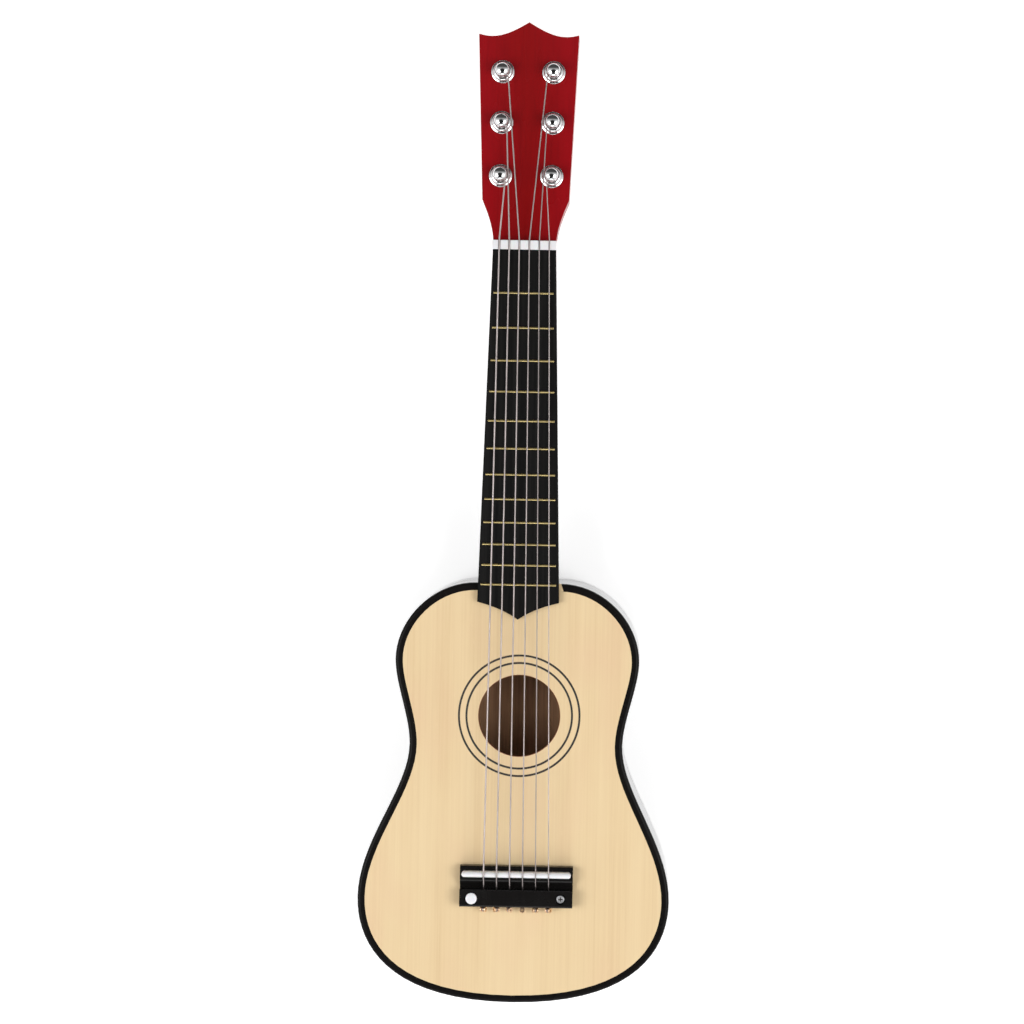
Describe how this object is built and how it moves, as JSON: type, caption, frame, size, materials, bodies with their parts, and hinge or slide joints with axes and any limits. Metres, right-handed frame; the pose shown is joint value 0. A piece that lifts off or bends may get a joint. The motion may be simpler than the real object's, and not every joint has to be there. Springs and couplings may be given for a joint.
{
  "type": "toy guitar",
  "caption": "Small acoustic guitar with a hollow waisted body, round sound hole, fretted neck, tilted headstock and turning friction tuners.",
  "frame": {"origin": "under the middle of the guitar's bounding box, at the level of the flat back that it lies on", "axes": "+X to the right seen from the front, +Y from the tail towards the headstock, +Z out of the soundboard"},
  "size_m": [0.1704, 0.5374, 0.0582],
  "materials": {
    "top_wood": "pale straight-grained softwood under a thin satin lacquer",
    "inner_wood": "bare sanded wood",
    "black_lacquer": "black gloss lacquer on wood",
    "black_binding": "black gloss plastic strip",
    "black_inlay": "thin black inlay",
    "black_bridge": "black stained wood, polished",
    "black_board": "black stained wood, satin, faint streaks",
    "red_lacquer": "dark translucent red gloss lacquer on wood",
    "white_plastic": "white moulded plastic",
    "knob_plastic": "cream moulded plastic",
    "tuner_chrome": "bright chrome plate",
    "post_metal": "polished bright, as chrome",
    "string_steel": "plain and wound steel string",
    "screw_steel": "zinc plated steel",
    "fret_brass": "drawn brass wire, lightly tarnished",
    "ball_brass": "turned brass"
  },
  "bodies": {
    "root": {"soundboard": "top_wood", "binding": "black_binding", "side_left": "black_lacquer", "side_right": "black_lacquer", "back_plate": "black_lacquer", "top_lining": "inner_wood", "back_lining": "inner_wood", "neck_block": "inner_wood", "tail_block": "inner_wood", "top_brace_upper": "inner_wood", "top_brace_lower": "inner_wood", "back_brace_upper": "inner_wood", "back_brace_middle": "inner_wood", "back_brace_lower": "inner_wood", "bridge_plate": "inner_wood", "rosette_inner": "black_inlay", "rosette_outer": "black_inlay", "bridge": "black_bridge", "saddle": "white_plastic", "bridge_screws": "screw_steel", "screw_cap": "white_plastic", "neck": "black_lacquer", "fingerboard": "black_board", "frets": "fret_brass", "nut": "white_plastic", "headstock": "red_lacquer", "tuner_bushings": "tuner_chrome", "tuner_washers": "tuner_chrome", "ball_ends": "ball_brass", "string_1": "string_steel", "string_2": "string_steel", "string_3": "string_steel", "string_4": "string_steel", "string_5": "string_steel", "string_6": "string_steel"},
    "tuner_1": {"tuner_post_1": "post_metal", "string_winding_1": "string_steel", "tuner_knob_1": "knob_plastic", "tuner_screw_1": "screw_steel"},
    "tuner_2": {"tuner_post_2": "post_metal", "string_winding_2": "string_steel", "tuner_knob_2": "knob_plastic", "tuner_screw_2": "screw_steel"},
    "tuner_3": {"tuner_post_3": "post_metal", "string_winding_3": "string_steel", "tuner_knob_3": "knob_plastic", "tuner_screw_3": "screw_steel"},
    "tuner_4": {"tuner_post_4": "post_metal", "string_winding_4": "string_steel", "tuner_knob_4": "knob_plastic", "tuner_screw_4": "screw_steel"},
    "tuner_5": {"tuner_post_5": "post_metal", "string_winding_5": "string_steel", "tuner_knob_5": "knob_plastic", "tuner_screw_5": "screw_steel"},
    "tuner_6": {"tuner_post_6": "post_metal", "string_winding_6": "string_steel", "tuner_knob_6": "knob_plastic", "tuner_screw_6": "screw_steel"}
  },
  "joints": [
    {"name": "tuner_1_turn", "type": "hinge", "parent": "root", "child": "tuner_1", "pos_m": [-0.014, 0.18338, 0.0452], "axis": [0, 0.0785, 0.9969], "continuous": true},
    {"name": "tuner_2_turn", "type": "hinge", "parent": "root", "child": "tuner_2", "pos_m": [-0.014, 0.21279, 0.04288], "axis": [0, 0.0785, 0.9969], "continuous": true},
    {"name": "tuner_3_turn", "type": "hinge", "parent": "root", "child": "tuner_3", "pos_m": [-0.014, 0.2408, 0.04068], "axis": [0, 0.0785, 0.9969], "continuous": true},
    {"name": "tuner_4_turn", "type": "hinge", "parent": "root", "child": "tuner_4", "pos_m": [0.014, 0.2408, 0.04068], "axis": [0, 0.0785, 0.9969], "continuous": true},
    {"name": "tuner_5_turn", "type": "hinge", "parent": "root", "child": "tuner_5", "pos_m": [0.014, 0.21279, 0.04288], "axis": [0, 0.0785, 0.9969], "continuous": true},
    {"name": "tuner_6_turn", "type": "hinge", "parent": "root", "child": "tuner_6", "pos_m": [0.014, 0.18338, 0.0452], "axis": [0, 0.0785, 0.9969], "continuous": true}
  ]
}
